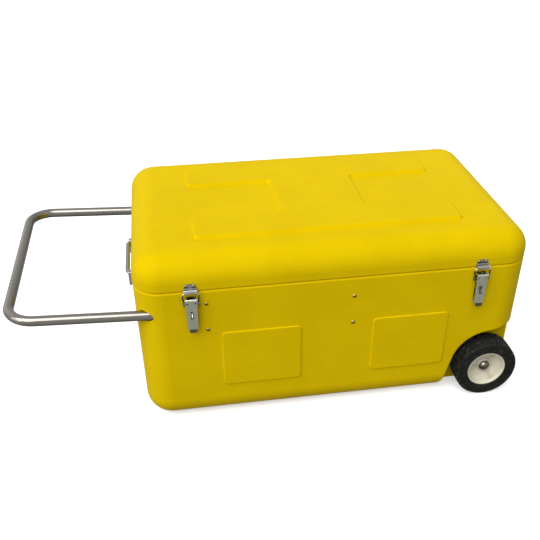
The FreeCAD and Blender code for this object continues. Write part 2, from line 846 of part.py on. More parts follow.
def latch(side, x):
    at = (x, -half_depth, 0)
    plate_out = s.sheet_metal
    pivot = (-s.pivot_out, s.pivot_z)
    link = (-s.link_out, s.link_z)
    back_of_lever = -(s.lever_out - s.lever_metal)

    # Base plate with two ears and a padlock eye
    plate = prism(f"latch_plate_{side}", "Y", [[
        (-s.base_half, s.base_foot), (s.base_half, s.base_foot), (s.base_half, 366), (s.ear_outer, 369),
        (s.ear_outer, 388), (-s.ear_outer, 388), (-s.ear_outer, 369), (-s.base_half, 366),
    ]], -plate_out, 0, at)
    ear_loop = [(-1, 370)] + round_about(pivot[0], pivot[1], s.ear_radius, "swne") + [(-1, 378)]
    ears = both_sides(f"latch_ear_{side}", [ear_loop, ring(pivot[0], pivot[1], s.latch_pin + 0.02)],
                      s.ear_inner, s.ear_outer, at)
    eye = prism(f"latch_eye_{side}", "X", [
        [(-1, s.eye_z - 9), (-16.5, s.eye_z - 9), (-25, s.eye_z - 6), (-28, s.eye_z - 2.5),
         (-28, s.eye_z + 4), (-25, s.eye_z + 7.5), (-16.5, s.eye_z + 9), (-1, s.eye_z + 9)],
        ring(-21.6, s.eye_z + 0.5, s.shackle_radius),
    ], -s.eye_half, s.eye_half, at)
    rivet_spots = [(s.base_rivet_x * sign, z) for z in (s.base_rivet_low, s.base_rivet_high)
                   for sign in (1, -1)]
    holes = [screw_hole(f"base_hole_{side}_{n}", (x + dx, -half_depth, z), "-Y")
             for n, (dx, z) in enumerate(rivet_spots, 1)]
    tub_holes.extend(holes)
    blank = fuse(f"latch_base_blank_{side}", [plate, eye] + ears)
    latch_bases.append(cut(f"latch_base_{side}", blank, holes))
    for n, (dx, z) in enumerate(rivet_spots, 1):
        base_rivets.append(screw(f"base_rivet_{side}_{n}", (x + dx, -(half_depth + plate_out), z), "-Y",
                                 plate_out + s.skin + 0.9))
    pin_half = s.cheek_outer - 0.2
    latch_pins.append(rod(f"latch_pin_{side}", s.latch_pin, pin_half * 2,
                          (x - pin_half, -(half_depth + s.pivot_out), s.pivot_z), "+X"))

    # Lever: a plate with a rolled top, two holes, a slot for the eye, side flanges and a lifted tongue
    slot_low, slot_high, slot = s.eye_z - 9, s.eye_z + 9, s.slot_half
    front = prism(f"lever_plate_{side}", "Y", [
        [(-s.lever_foot_half, s.lever_foot), (s.lever_foot_half, s.lever_foot),
         (s.lever_waist_half, s.lever_waist), (s.lever_half, s.lever_waist + 3),
         (s.lever_half, s.lever_top), (-s.lever_half, s.lever_top),
         (-s.lever_half, s.lever_waist + 3), (-s.lever_waist_half, s.lever_waist)],
        [(slot, slot_low), (slot, slot_high, slot, 1), (0, slot_high + slot, slot, 1),
         (-slot, slot_high), (-slot, slot_low, slot, 1), (0, slot_low - slot, slot, 1)],
        ring(-s.lever_hole_x, s.lever_hole_z, s.lever_hole),
        ring(s.lever_hole_x, s.lever_hole_z, s.lever_hole),
    ], -s.lever_out, back_of_lever, at)
    roll = rod(f"lever_roll_{side}", 1.8, s.lever_half * 2,
               (x - s.lever_half, -(half_depth + s.lever_out - 1), s.lever_top), "+X")
    cheek_loop = [(back_of_lever - 0.6, s.lever_top)] + round_about(pivot[0], pivot[1], 5.2, "ne") \
        + round_about(link[0], link[1], 4, "es") + [(back_of_lever - 0.6, 362)]
    cheeks = both_sides(f"lever_cheek_{side}", [
        cheek_loop,
        ring(pivot[0], pivot[1], s.latch_pin + s.pin_fit),
        ring(link[0], link[1], s.latch_pin + 0.02),
    ], s.cheek_inner, s.cheek_outer, at)
    flange_loop = [(back_of_lever - 0.6, s.lever_foot + 2), (-11.4, s.lever_foot + 5), (-11.4, 358),
                   (back_of_lever - 0.6, 362)]
    flanges_low = both_sides(f"lever_flange_{side}", [flange_loop], s.ear_inner, s.ear_outer, at)
    tongue = body(f"lever_tongue_{side}", at)
    step = pad(tongue, f"tongue_pad_{side}", "X", [[
        (back_of_lever, s.lever_foot + 1), (-s.lever_out, s.lever_foot + 1),
        (-s.lever_out - 0.2, s.lever_foot - 0.9), (-s.lever_out - 4, s.lever_foot - 8.4),
        (-s.lever_out - 2.4, s.lever_foot - 9.2), (back_of_lever - 0.2, s.lever_foot - 1.4),
    ]], -s.tip_half, s.tip_half)
    fillet(tongue, f"tongue_round_{side}", step, 5,
           lambda b: b.XLength < 0.001 and b.ZMax < s.lever_foot.number - 8)
    lever = fuse(f"latch_lever_{side}", [front, roll, tongue] + cheeks + flanges_low)

    # Link pins: a headed stub on each cheek, which the bail swings on
    eye_inner = s.cheek_outer + 0.5
    eye_outer = eye_inner + s.wire_radius * 2
    stubs = []
    for sign, word in ((1, "right"), (-1, "left")):
        facing = "+X" if sign > 0 else "-X"
        spot = (x + s.cheek_inner * sign, -(half_depth + s.link_out), s.link_z)
        head = (x + (eye_outer + 0.4) * sign, -(half_depth + s.link_out), s.link_z)
        stubs.append(fuse(f"link_stub_{side}_{word}", [
            rod(f"link_shank_{side}_{word}", s.latch_pin, eye_outer + 1 - s.cheek_inner, spot, facing),
            rod(f"link_head_{side}_{word}", s.pin_head, 1.2, head, facing),
        ]))
    link_pins = group(f"link_pins_{side}", stubs)

    # Bail: a wire loop that bows out from an eye on each link pin and runs up under the keeper
    wire_foot = s.link_z + s.pin_head + 0.3
    wire = swept(f"bail_wire_{side}", across([
        (wire_foot, s.wire_half, s.wire_flare, 1),
        (wire_foot + s.wire_flare * lean_sine, s.wire_half + s.wire_flare * lean_rise, s.wire_return, -1),
        (wire_foot + wire_sweep * lean_sine, s.wire_half + wire_sweep * lean_rise),
        (s.cross_z - s.bail_bend, s.wire_half + wire_sweep * lean_rise, s.bail_bend, -1),
        (s.cross_z, s.wire_half + wire_sweep * lean_rise - s.bail_bend),
    ]), [ring(s.wire_half, 0, s.wire_radius)], wire_foot, (x, -(half_depth + s.link_out), 0), UPRIGHT)
    eyes = both_sides(f"bail_eye_{side}", [
        ring(link[0], link[1], s.bail_eye),
        ring(link[0], link[1], s.latch_pin + s.pin_fit),
    ], eye_inner, eye_outer, at)
    bail = fuse(f"latch_bail_{side}", [wire] + eyes)
    latch_moving.extend([lever, link_pins, bail])

    # Keeper on the lid: a plate with a turned-out hook
    keeper_plate = body(f"keeper_plate_{side}", at)
    step = pad(keeper_plate, f"keeper_pad_{side}", "Y", [
        rectangle(-s.keeper_half, 409.5, s.keeper_half, s.keeper_top)], -plate_out, 0)
    fillet(keeper_plate, f"keeper_corners_{side}", step, 4,
           lambda b: b.XLength < 0.001 and b.ZLength < 0.001 and b.ZMin > s.keeper_top.number - 1)
    hook_inner = s.hook_radius - s.hook_metal
    hook_loop = [(-1, 409.5)] + round_about(-8, s.hook_z, s.hook_radius, "esw") \
        + [(-(8 + s.hook_radius), s.hook_lip), (-(8 + hook_inner), s.hook_lip)] \
        + round_about(-8, s.hook_z, hook_inner, "wse") + [(-plate_out, 412), (-1, 412)]
    hook = prism(f"keeper_hook_{side}", "X", [hook_loop], -s.hook_half, s.hook_half, at)
    spots = [(s.keeper_rivet_x * sign, s.keeper_rivet_z) for sign in (1, -1)]
    holes = [screw_hole(f"keeper_hole_{side}_{n}", (x + dx, -half_depth, z), "-Y")
             for n, (dx, z) in enumerate(spots, 1)]
    lid_holes.extend(holes)
    keepers.append(cut(f"keeper_{side}", fuse(f"keeper_blank_{side}", [keeper_plate, hook]), holes))
    for n, (dx, z) in enumerate(spots, 1):
        keeper_rivets.append(screw(f"keeper_rivet_{side}_{n}", (x + dx, -(half_depth + plate_out), z), "-Y",
                                   plate_out + s.skin + 0.3))


latch("left", -s.latch_x)
latch("right", s.latch_x)
latch_base_group = group("latch_bases", latch_bases)
latch_pin_group = group("latch_pins", latch_pins)
base_rivet_group = group("base_rivets", base_rivets)
keeper_group = group("latch_keepers", keepers)
keeper_rivet_group = group("keeper_rivets", keeper_rivets)

# Hinges: the local origin is on the back face under each hinge, and +Y is outward
lower_leaves = []
upper_leaves = []
hinge_pins = []
lower_screws = []
upper_screws = []


def hinge(side, x):
    at = (x, half_depth, 0)
    seam = s.tub_height
    axis = (s.hinge_out, seam)
    low = prism(f"lower_leaf_{side}", "Y", [rectangle(-s.hinge_half, 362, s.hinge_half, 393)],
                0, s.leaf_thick, at)
    web = rectangle(0.5, 390, s.leaf_thick + 0.5, seam)
    knuckle = [ring(axis[0], axis[1], s.knuckle_radius), ring(axis[0], axis[1], s.hinge_pin + 0.02)]
    outer_low = s.knuckle_half + 0.4
    webs = both_sides(f"lower_web_{side}", [web], outer_low, s.hinge_half, at)
    knuckles = both_sides(f"lower_knuckle_{side}", knuckle, outer_low, s.hinge_half, at)
    bore = rod(f"lower_bore_{side}", s.hinge_pin + 0.02, 90, (x - 45, half_depth + s.hinge_out, seam), "+X")
    spots = [(dx, 375) for dx in (-28, -9.5, 9.5, 28)]
    holes = [screw_hole(f"lower_hole_{side}_{n}", (x + dx, half_depth, z), "+Y")
             for n, (dx, z) in enumerate(spots, 1)]
    tub_holes.extend(holes)
    blank = fuse(f"hinge_lower_blank_{side}", [low] + webs + knuckles)
    lower_leaves.append(cut(f"hinge_lower_{side}", blank, holes + [bore]))
    for n, (dx, z) in enumerate(spots, 1):
        lower_screws.append(screw(f"lower_screw_{side}_{n}", (x + dx, half_depth + s.leaf_thick, z), "+Y",
                                  s.leaf_thick + s.skin + 0.6))

    high = prism(f"upper_leaf_{side}", "Y", [rectangle(-s.hinge_half, 408, s.hinge_half, 424)],
                 0, s.leaf_thick, at)
    web = prism(f"upper_web_{side}", "X", [rectangle(0.5, seam, s.leaf_thick + 0.5, 409)],
                -s.knuckle_half, s.knuckle_half, at)
    middle = prism(f"upper_knuckle_{side}", "X", [ring(axis[0], axis[1], s.knuckle_radius)],
                   -s.knuckle_half, s.knuckle_half, at)
    bore = rod(f"upper_bore_{side}", s.hinge_pin + s.hinge_fit, 60,
               (x - 30, half_depth + s.hinge_out, seam), "+X")
    spots = [(dx, 416.5) for dx in (-28, -9.5, 9.5, 28)]
    holes = [screw_hole(f"upper_hole_{side}_{n}", (x + dx, half_depth, z), "+Y")
             for n, (dx, z) in enumerate(spots, 1)]
    lid_holes.extend(holes)
    blank = fuse(f"hinge_upper_blank_{side}", [high, web, middle])
    upper_leaves.append(cut(f"hinge_upper_{side}", blank, holes + [bore]))
    for n, (dx, z) in enumerate(spots, 1):
        upper_screws.append(screw(f"upper_screw_{side}_{n}", (x + dx, half_depth + s.leaf_thick, z), "+Y",
                                  s.leaf_thick + s.skin + 0.3))
    hinge_pins.append(rod(f"hinge_pin_{side}", s.hinge_pin, s.hinge_half * 2 + 2,
                          (x - s.hinge_half - 1, half_depth + s.hinge_out, seam), "+X"))


hinge("left", -s.hinge_x)
hinge("right", s.hinge_x)
lower_leaf_group = group("hinge_leaves_lower", lower_leaves)
upper_leaf_group = group("hinge_leaves_upper", upper_leaves)
hinge_pin_group = group("hinge_pins", hinge_pins)
lower_screw_group = group("hinge_screws_lower", lower_screws)
upper_screw_group = group("hinge_screws_upper", upper_screws)

# Grab handles: a cranked bar held in a bracket at each end, with the screws sunk in the brackets
# Each leg leaves its bracket square to the wall, leans over, then eases into the straight grip
lean = math.radians(SIZES["grab_lean"])
bend_out = s.grab_bend * math.sin(lean) + 0.5
bend_in = s.grab_bend * (1 - math.cos(lean))
ease_out = s.grab_ease * (1 - math.sin(lean))
ease_in = s.grab_ease * math.cos(lean)
slope_in = (s.grab_out - ease_out - bend_out) * math.tan(lean)
grabs = []
grab_screws = []
wall_gap = 0.25
for side, sign, facing in (("left", -1, "-X"), ("right", 1, "+X")):
    wall_x = (half_length - wall_gap) * sign
    turn = Rotation() if sign > 0 else Rotation(Vector(0, 0, 1), 180)
    bar = swept(f"grab_bar_{side}", across([
        (0.5, s.grab_foot, s.grab_bend, -1),
        (bend_out, s.grab_foot - bend_in),
        (s.grab_out - ease_out, s.grab_foot - bend_in - slope_in, s.grab_ease, -1),
        (s.grab_out, s.grab_foot - bend_in - slope_in - ease_in),
    ]), [ring(s.grab_foot, 0, s.grab_radius)], 0.5, (wall_x, 0, s.grab_z), turn)
    brackets = []
    holes = []
    recesses = []
    for centre, word in ((s.grab_foot, "a"), (-s.grab_foot, "b")):
        bracket = body(f"grab_bracket_{side}_{word}", (wall_x, 0, s.grab_z), turn)
        block = pad(bracket, f"grab_block_{side}_{word}", "X", [
            rectangle(centre - s.bracket_half, -s.bracket_low, centre + s.bracket_half, s.bracket_high),
        ], 0, s.bracket_out)
        fillet(bracket, f"grab_block_edges_{side}_{word}", block, s.bracket_round, lambda b: b.XMax > 1)
        brackets.append(bracket)
        for drop, level in ((s.bracket_screw_high, "high"), (s.bracket_screw_low, "low")):
            at = ((half_length - wall_gap + s.bracket_seat) * sign, centre, s.grab_z - drop)
            holes.append(screw_hole(f"grab_hole_{side}_{word}_{level}", at, facing))
            recesses.append(rod(f"grab_recess_{side}_{word}_{level}", s.recess_radius, 30, at, facing))
            grab_screws.append(screw(f"grab_screw_{side}_{word}_{level}", at, facing,
                                     s.bracket_seat + s.skin + 0.9))
    tub_holes.extend(holes)
    grabs.append(cut(f"grab_handle_{side}", fuse(f"grab_blank_{side}", [bar] + brackets), holes + recesses))
grab_screw_group = group("grab_screws", grab_screws)

# Tub: hollowed, then bored for the arms, the axle and every fastener
arm_holes = arm_bores("arm_holes", s.tube_radius + s.arm_clearance, -545, -455)
tub_blank = cut("tub_blank", tub_outer, [fuse("tub_space", [tub_inner, tub_mouth])])
tub = cut("tub", tub_blank, list(arm_holes) + bolt_holes + axle_holes + tub_holes)

# Lid: the outside, with its rounded top and its raised deck
lid_base = s.tub_height + s.part_gap
lid_top = lid_base + s.lid_height
lid_outer, top = rounded_box("lid_outer", 0, lid_base, lid_top)
top = fillet(lid_outer, "lid_crown", top, s.lid_round, lambda b: b.ZMin > lid_top.number - 0.001)
top = fillet(lid_outer, "lid_seam", top, s.seam_round, lambda b: b.ZMax < lid_base.number + 0.001)


def deck(inset):
    """The raised deck's outline: two long strips joined across the middle."""
    half, outer = s.deck_half - inset, s.deck_outer - inset
    inner, neck = s.deck_inner + inset, s.deck_neck - inset
    return [
        (-half, -outer), (half, -outer), (half, -inner), (neck, -inner), (neck, inner), (half, inner),
        (half, outer), (-half, outer), (-half, inner), (-neck, inner), (-neck, -inner), (-half, -inner),
    ]


top = pad(lid_outer, "deck", "Z", [deck(0)], lid_top, lid_top + s.deck_rise, taper=-s.deck_slope)
deck_z = lid_top.number + s.deck_rise.number
top = fillet(lid_outer, "deck_corners", top, s.deck_corner,
             lambda b: b.ZMax > deck_z - 0.001 and b.ZLength > 3)
top = fillet(lid_outer, "deck_edges", top, s.deck_round, lambda b: b.ZMin > deck_z - 0.001)

# Lid: the inside, its stiff rim and the groove for the seal
lid_inner, top = rounded_box("lid_inner", s.skin, lid_base + s.lid_rim, lid_top - s.skin)
top = fillet(lid_inner, "inner_crown", top, s.lid_round - s.skin,
             lambda b: b.ZMin > lid_top.number - s.skin.number - 0.001)
pad(lid_inner, "deck_space", "Z", [deck(s.skin)], lid_top - s.skin - 1, lid_top - s.skin + s.deck_rise)
lid_mouth, _ = rounded_box("lid_mouth", s.rim_width, lid_base - 2, lid_base + s.lid_rim + 3)


def frame(name, inset, width, low, high):
    """A closed frame on the box's plan."""
    outside, _ = rounded_box(name + "_outside", inset, low, high)
    inside, _ = rounded_box(name + "_inside", inset + width, low - 1, high + 1)
    return cut(name, outside, [inside])


groove_top = lid_base + s.seal_height + s.seal_slack * 2
seal_groove = frame("seal_groove", s.seal_inset - s.seal_slack, s.seal_width + s.seal_slack * 2,
                    lid_base - 1, groove_top)
lid_seal = frame("lid_seal", s.seal_inset, s.seal_width, lid_base + s.seal_slack, lid_base + s.seal_slack
                 + s.seal_height)
lid = cut("lid", lid_outer, [fuse("lid_space", [lid_inner, lid_mouth]), seal_groove] + lid_holes)

NODES = {
    "tub": tub,
    "handle_guides": handle_guides,
    "guide_bolts": guide_bolt_group,
    "axle": axle,
    "axle_sleeve": axle_sleeve,
    "axle_flanges": axle_flanges,
    "flange_screws": flange_screw_group,
    "axle_spacers": axle_spacers,
    "axle_caps": axle_caps,
    "latch_bases": latch_base_group,
    "latch_pins": latch_pin_group,
    "base_rivets": base_rivet_group,
    "hinge_leaves_lower": lower_leaf_group,
    "hinge_pins": hinge_pin_group,
    "hinge_screws_lower": lower_screw_group,
    "grab_handle_left": grabs[0],
    "grab_handle_right": grabs[1],
    "grab_screws": grab_screw_group,
    "lid": lid,
    "lid_seal": lid_seal,
    "latch_keepers": keeper_group,
    "keeper_rivets": keeper_rivet_group,
    "hinge_leaves_upper": upper_leaf_group,
    "hinge_screws_upper": upper_screw_group,
    "latch_lever_left": latch_moving[0],
    "link_pins_left": latch_moving[1],
    "latch_bail_left": latch_moving[2],
    "latch_lever_right": latch_moving[3],
    "link_pins_right": latch_moving[4],
    "latch_bail_right": latch_moving[5],
    "tow_handle": tow_handle,
    "arm_stops": arm_stops,
    "tyre_front": wheel_parts[0],
    "rim_front": wheel_parts[1],
    "hub_bush_front": wheel_parts[2],
    "tyre_back": wheel_parts[3],
    "rim_back": wheel_parts[4],
    "hub_bush_back": wheel_parts[5],
}

document.recompute()
faults = [item.Name for item in document.Objects
          if any(word in ("Invalid", "Error") for word in item.State)]
for name, item in NODES.items():
    item.Label = name
    if item.Shape.isNull() or not item.Shape.isValid():
        faults.append(name)
if faults:
    raise RuntimeError("These did not build: " + ", ".join(faults))

os.makedirs("parts", exist_ok=True)
for name, item in NODES.items():
    item.Shape.exportStep(f"parts/{name}.step")
    print(name, len(item.Shape.Solids), round(item.Shape.Volume / 1000, 2))
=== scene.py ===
import json
import math

import bmesh
import bpy
from mathutils import Matrix, Vector


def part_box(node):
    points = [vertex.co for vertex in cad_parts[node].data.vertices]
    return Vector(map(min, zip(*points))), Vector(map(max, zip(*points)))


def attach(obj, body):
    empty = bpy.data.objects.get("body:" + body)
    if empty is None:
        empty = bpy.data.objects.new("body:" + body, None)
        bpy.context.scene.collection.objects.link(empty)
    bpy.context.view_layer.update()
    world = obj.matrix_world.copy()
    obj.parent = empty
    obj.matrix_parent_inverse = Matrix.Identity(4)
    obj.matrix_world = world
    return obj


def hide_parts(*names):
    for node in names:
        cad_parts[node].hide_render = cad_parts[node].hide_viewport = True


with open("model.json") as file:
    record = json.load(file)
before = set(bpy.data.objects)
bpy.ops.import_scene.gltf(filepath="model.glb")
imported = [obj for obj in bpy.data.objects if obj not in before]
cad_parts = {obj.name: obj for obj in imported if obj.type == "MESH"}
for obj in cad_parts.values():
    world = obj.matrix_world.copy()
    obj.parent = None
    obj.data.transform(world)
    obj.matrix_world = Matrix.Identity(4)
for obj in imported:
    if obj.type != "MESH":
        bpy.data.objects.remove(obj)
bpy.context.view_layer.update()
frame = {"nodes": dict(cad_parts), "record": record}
nodes = frame["nodes"]


# Materials

def fill(tree, node, inputs):
    """Sets each input of a node to its value, or links it where that is another node's output."""
    for name, value in inputs.items():
        socket = node.inputs[name]
        if isinstance(value, bpy.types.NodeSocket):
            tree.links.new(value, socket)
        elif socket.type == "RGBA":
            socket.default_value = (*value, 1.0)
        else:
            socket.default_value = value


def add_node(tree, kind, inputs, **settings):
    made = tree.nodes.new(kind)
    for key, value in settings.items():
        setattr(made, key, value)
    fill(tree, made, inputs)
    return made


def shaded(colour, share):
    return tuple(channel * share for channel in colour)


class Shader:
    """A material under construction, with short calls for the nodes used here."""

    def __init__(self, name):
        self.material = bpy.data.materials.new(name)
        self.material.use_nodes = True
        self.tree = self.material.node_tree
        coordinates = self.node("ShaderNodeTexCoord", {}).outputs
        self.place = coordinates["Object"]
        self.normal = coordinates["Normal"]

    def node(self, kind, inputs, **settings):
        return add_node(self.tree, kind, inputs, **settings)

    def stretched(self, scale):
        """Places along the object's axes, each axis scaled by its own number."""
        return self.node("ShaderNodeMapping", {"Vector": self.place, "Scale": scale}).outputs["Vector"]

    def noise(self, scale, detail=3.0, roughness=0.55, vector=None):
        return self.node("ShaderNodeTexNoise", {
            "Vector": vector or self.place, "Scale": scale, "Detail": detail, "Roughness": roughness,
        }).outputs["Fac"]

    def cells(self, scale, feature="F1"):
        return self.node("ShaderNodeTexVoronoi", {
            "Vector": self.place, "Scale": scale,
        }, feature=feature).outputs["Distance"]

    def ramp(self, factor, stops):
        made = self.node("ShaderNodeValToRGB", {"Fac": factor})
        elements = made.color_ramp.elements
        while len(elements) < len(stops):
            elements.new(0.5)
        for element, (position, colour) in zip(elements, stops):
            element.position = position
            element.color = (*colour, 1.0)
        return made.outputs["Color"]

    def spread(self, factor, low, high, start=0.3, finish=0.7):
        """Runs from low to high, and stays there, as the factor goes from start to finish."""
        return self.node("ShaderNodeMapRange", {
            "Value": factor, "From Min": start, "From Max": finish, "To Min": low, "To Max": high,
        }).outputs["Result"]

    def add(self, first, second):
        return self.node("ShaderNodeMath", {0: first, 1: second}, operation="ADD").outputs["Value"]

    def mix(self, factor, first, second):
        return self.node("ShaderNodeMix", {0: factor, 6: first, 7: second}, data_type="RGBA").outputs[2]

    def facing(self, direction, start, finish):
        """From 0 to 1 as the surface turns towards a direction of the object's own frame."""
        turned = self.node("ShaderNodeVectorMath", {
            0: self.normal, 1: Vector(direction).normalized(),
        }, operation="DOT_PRODUCT")
        return self.spread(turned.outputs["Value"], 0.0, 1.0, start, finish)

    def along(self, axis, start, finish):
        """From 0 to 1 between two places along an axis of the object's own frame."""
        axes = self.node("ShaderNodeSeparateXYZ", {"Vector": self.place})
        return self.spread(axes.outputs[axis], 0.0, 1.0, start, finish)

    def painted_crease_shading(self, colour, tint, distance, amount):
        """Paints the light and shade of crevices into a colour: a tint mixed in within crevices and
        against neighbouring pieces.
        """
        open_air = self.node("ShaderNodeAmbientOcclusion", {"Distance": distance}, samples=8)
        return self.mix(self.spread(open_air.outputs["AO"], amount, 0.0, 0.25, 0.95), colour, tint)

    def bump(self, height, strength, distance, **below):
        return self.node("ShaderNodeBump", {
            "Height": height, "Strength": strength, "Distance": distance, **below,
        }).outputs["Normal"]

    def finish(self, colour, roughness, normal, constants):
        fill(self.tree, self.tree.nodes["Principled BSDF"], {
            "Base Color": colour, "Roughness": roughness, "Normal": normal, **constants,
        })
        return self.material


def yellow_plastic():
    """Moulded polythene: cloudy yellow, a fine pebbled skin and slow waves in the surface."""
    s = Shader("yellow_plastic")
    clouds = s.noise(7, detail=4, roughness=0.6)
    mottle = s.noise(95, roughness=0.7)
    grains = s.noise(900, detail=2)
    colour = s.ramp(clouds, [
        (0.30, (0.775, 0.548, 0.0012)),
        (0.52, (0.815, 0.580, 0.0014)),
        (0.72, (0.845, 0.606, 0.0016)),
    ])
    colour = s.mix(s.spread(mottle, 0.0, 0.20), colour, (0.700, 0.480, 0.0010))
    colour = s.mix(s.spread(grains, 0.0, 0.07, 0.45, 0.75), colour, (0.88, 0.655, 0.003))
    specks = s.cells(61)
    colour = s.mix(s.spread(specks, 0.55, 0.0, 0.02, 0.07), colour, (0.30, 0.21, 0.0030))
    # Painted light: the yellow is made paler in creases, where it stands in for the light that bounces
    # between their walls
    colour = s.painted_crease_shading(colour, (0.93, 0.70, 0.0025), 0.012, 0.45)
    roughness = s.add(s.spread(mottle, 0.42, 0.52), s.spread(clouds, -0.03, 0.05))
    waves = s.bump(s.noise(9, detail=2), 0.22, 0.005)
    peel = s.bump(s.noise(330, detail=2, roughness=0.5), 0.22, 0.00035, Normal=waves)
    skin = s.bump(s.cells(620, "SMOOTH_F1"), 0.10, 0.0002, Normal=peel)
    return s.finish(colour, roughness, skin, {
        "Specular IOR Level": 0.04, "Specular Tint": (1.0, 0.82, 0.10),
    })


def brushed_steel(name, dark, light, rough_low, rough_high, lines, strength, painted_shading=()):
    """Stainless steel with polishing lines along one direction, faint smears and small scratches.

    Light and shade are painted into the colour through pairs: a call that takes the shader and gives 0
    to 1 over the surface, and the share of the dark colour that the steel has where the call gives 1.
    """
    s = Shader(name)
    line_field = s.noise(1.0, detail=4, roughness=0.65, vector=s.stretched(lines))
    smears = s.noise(38, roughness=0.6)
    colour = s.ramp(line_field, [(0.30, dark), (0.70, light)])
    colour = s.mix(s.spread(smears, 0.0, 0.30), colour, shaded(dark, 0.78))
    for where, share in painted_shading:
        colour = s.mix(where(s), colour, shaded(dark, share))
    # Painted shade: the steel is darkened in crevices and against neighbouring pieces
    colour = s.painted_crease_shading(colour, shaded(dark, 0.12), 0.006, 0.9)
    roughness = s.add(s.spread(line_field, rough_low, rough_high), s.spread(smears, -0.04, 0.06))
    grooves = s.bump(line_field, strength, 0.0002)
    dings = s.bump(s.cells(180, "SMOOTH_F1"), strength * 0.5, 0.0001, Normal=grooves)
    return s.finish(colour, roughness, dings, {"Metallic": 1.0})


def bright_metal(name, light, rough, painted_shading=()):
    """Plated steel, smooth with a few cloudy patches. Its painted light and shade are given as in
    brushed_steel.
    """
    s = Shader(name)
    patches = s.noise(160)
    dark = shaded(light, 0.72)
    colour = s.ramp(patches, [(0.35, dark), (0.62, light)])
    for where, share in painted_shading:
        colour = s.mix(where(s), colour, shaded(dark, share))
    # Painted shade: the plated steel is darkened in crevices and against neighbouring pieces
    colour = s.painted_crease_shading(colour, shaded(light, 0.12), 0.004, 0.9)
    roughness = s.spread(patches, rough, rough + 0.14)
    normal = s.bump(s.noise(700, detail=2), 0.05, 0.0001)
    return s.finish(colour, roughness, normal, {"Metallic": 1.0})


def tyre_rubber():
    """Black rubber with pale dust in patches and a fine pitted skin."""
    s = Shader("tyre_rubber")
    patches = s.noise(22, detail=5, roughness=0.65)
    pits = s.noise(1300, detail=2)
    colour = s.ramp(patches, [
        (0.36, (0.0062, 0.0064, 0.0052)),
        (0.58, (0.0100, 0.0100, 0.0080)),
        (0.80, (0.0200, 0.0190, 0.0150)),
    ])
    colour = s.mix(s.spread(pits, 0.0, 0.20, 0.5, 0.8), colour, (0.030, 0.029, 0.025))
    dust = s.noise(85, detail=4, roughness=0.75)
    colour = s.mix(s.spread(dust, 0.0, 0.85, 0.52, 0.66), colour, (0.050, 0.052, 0.040))
    roughness = s.spread(patches, 0.50, 0.70)
    normal = s.bump(pits, 0.25, 0.0002)
    return s.finish(colour, roughness, normal, {"Specular IOR Level": 0.16})


def rim_plastic():
    """Cream moulded wheel centre, slightly greyed in patches."""
    s = Shader("rim_plastic")
    clouds = s.noise(30, detail=4, roughness=0.6)
    specks = s.noise(420, detail=2)
    colour = s.ramp(clouds, [
        (0.30, (0.690, 0.640, 0.470)),
        (0.55, (0.780, 0.735, 0.575)),
        (0.78, (0.830, 0.790, 0.660)),
    ])
    colour = s.mix(s.spread(specks, 0.0, 0.12, 0.5, 0.75), colour, (0.44, 0.40, 0.27))
    # Painted shade: the cream is darkened in crevices and against neighbouring pieces
    colour = s.painted_crease_shading(colour, (0.24, 0.20, 0.12), 0.012, 0.6)
    roughness = s.spread(clouds, 0.36, 0.50)
    normal = s.bump(s.noise(260, detail=2), 0.12, 0.0002)
    return s.finish(colour, roughness, normal, {"Specular IOR Level": 0.4})


def moulded_plastic(name, dark, light, rough_low, rough_high):
    """Small plain mouldings and rubber: cloudy, with a fine grain."""
    s = Shader(name)
    clouds = s.noise(60, detail=4)
    colour = s.ramp(clouds, [(0.32, dark), (0.70, light)])
    roughness = s.spread(clouds, rough_low, rough_high)
    normal = s.bump(s.cells(900, "SMOOTH_F1"), 0.18, 0.0002)
    return s.finish(colour, roughness, normal, {"Specular IOR Level": 0.4})


DOWN = (0, 0, -1)
TUBE_INNER_SIDE = (1, 0, 0.2)
TUBE_UPPER_SIDE = (-0.50, 0, 0.86)
CAP_LOWER_SIDE = (0.3, 0, -1)

# Lines run along the axis with the small number
LINES_ALONG_TUBE = (25, 900, 900)
LINES_ACROSS = (900, 40, 900)
LINES_UPRIGHT = (1100, 1100, 45)

